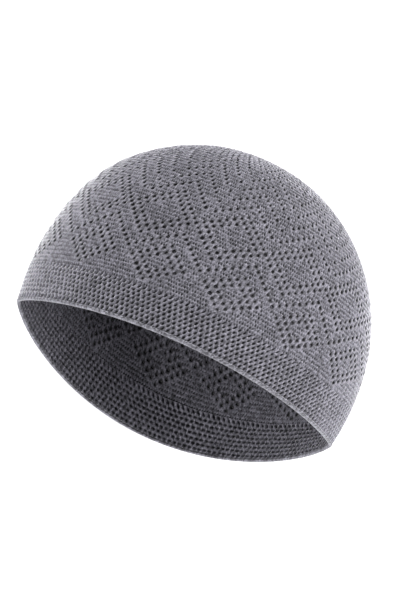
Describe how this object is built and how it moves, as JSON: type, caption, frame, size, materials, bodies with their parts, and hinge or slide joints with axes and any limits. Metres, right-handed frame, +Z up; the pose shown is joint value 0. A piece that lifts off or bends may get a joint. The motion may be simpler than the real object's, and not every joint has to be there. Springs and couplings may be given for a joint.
{
  "type": "knitted prayer cap",
  "caption": "Tall rounded cap of openwork knitting with a denser knitted headband and a cast-on edge, lying on the back of its wall with its opening to the side.",
  "frame": {"origin": "centre of the flat spot's level under the middle of the cap's bounding box, on the surface that the cap lies on", "axes": "+X from one tip of the opening to the other, +Y from the opening towards the top of the crown, +Z up from the wall that the cap lies on"},
  "size_m": [0.2074, 0.1777, 0.1555],
  "materials": {
    "openwork_knit": "matt knitted yarn, grey with a slight violet tint, with rows of small eyelets",
    "tuck_stitch_knit": "matt knitted yarn in a dense honeycomb of small pits",
    "cast_on_yarn": "matt yarn, a smooth chain of stitches, lighter than the rest"
  },
  "bodies": {
    "root": {"crown": "openwork_knit", "band": "tuck_stitch_knit", "edge": "cast_on_yarn"}
  },
  "joints": []
}
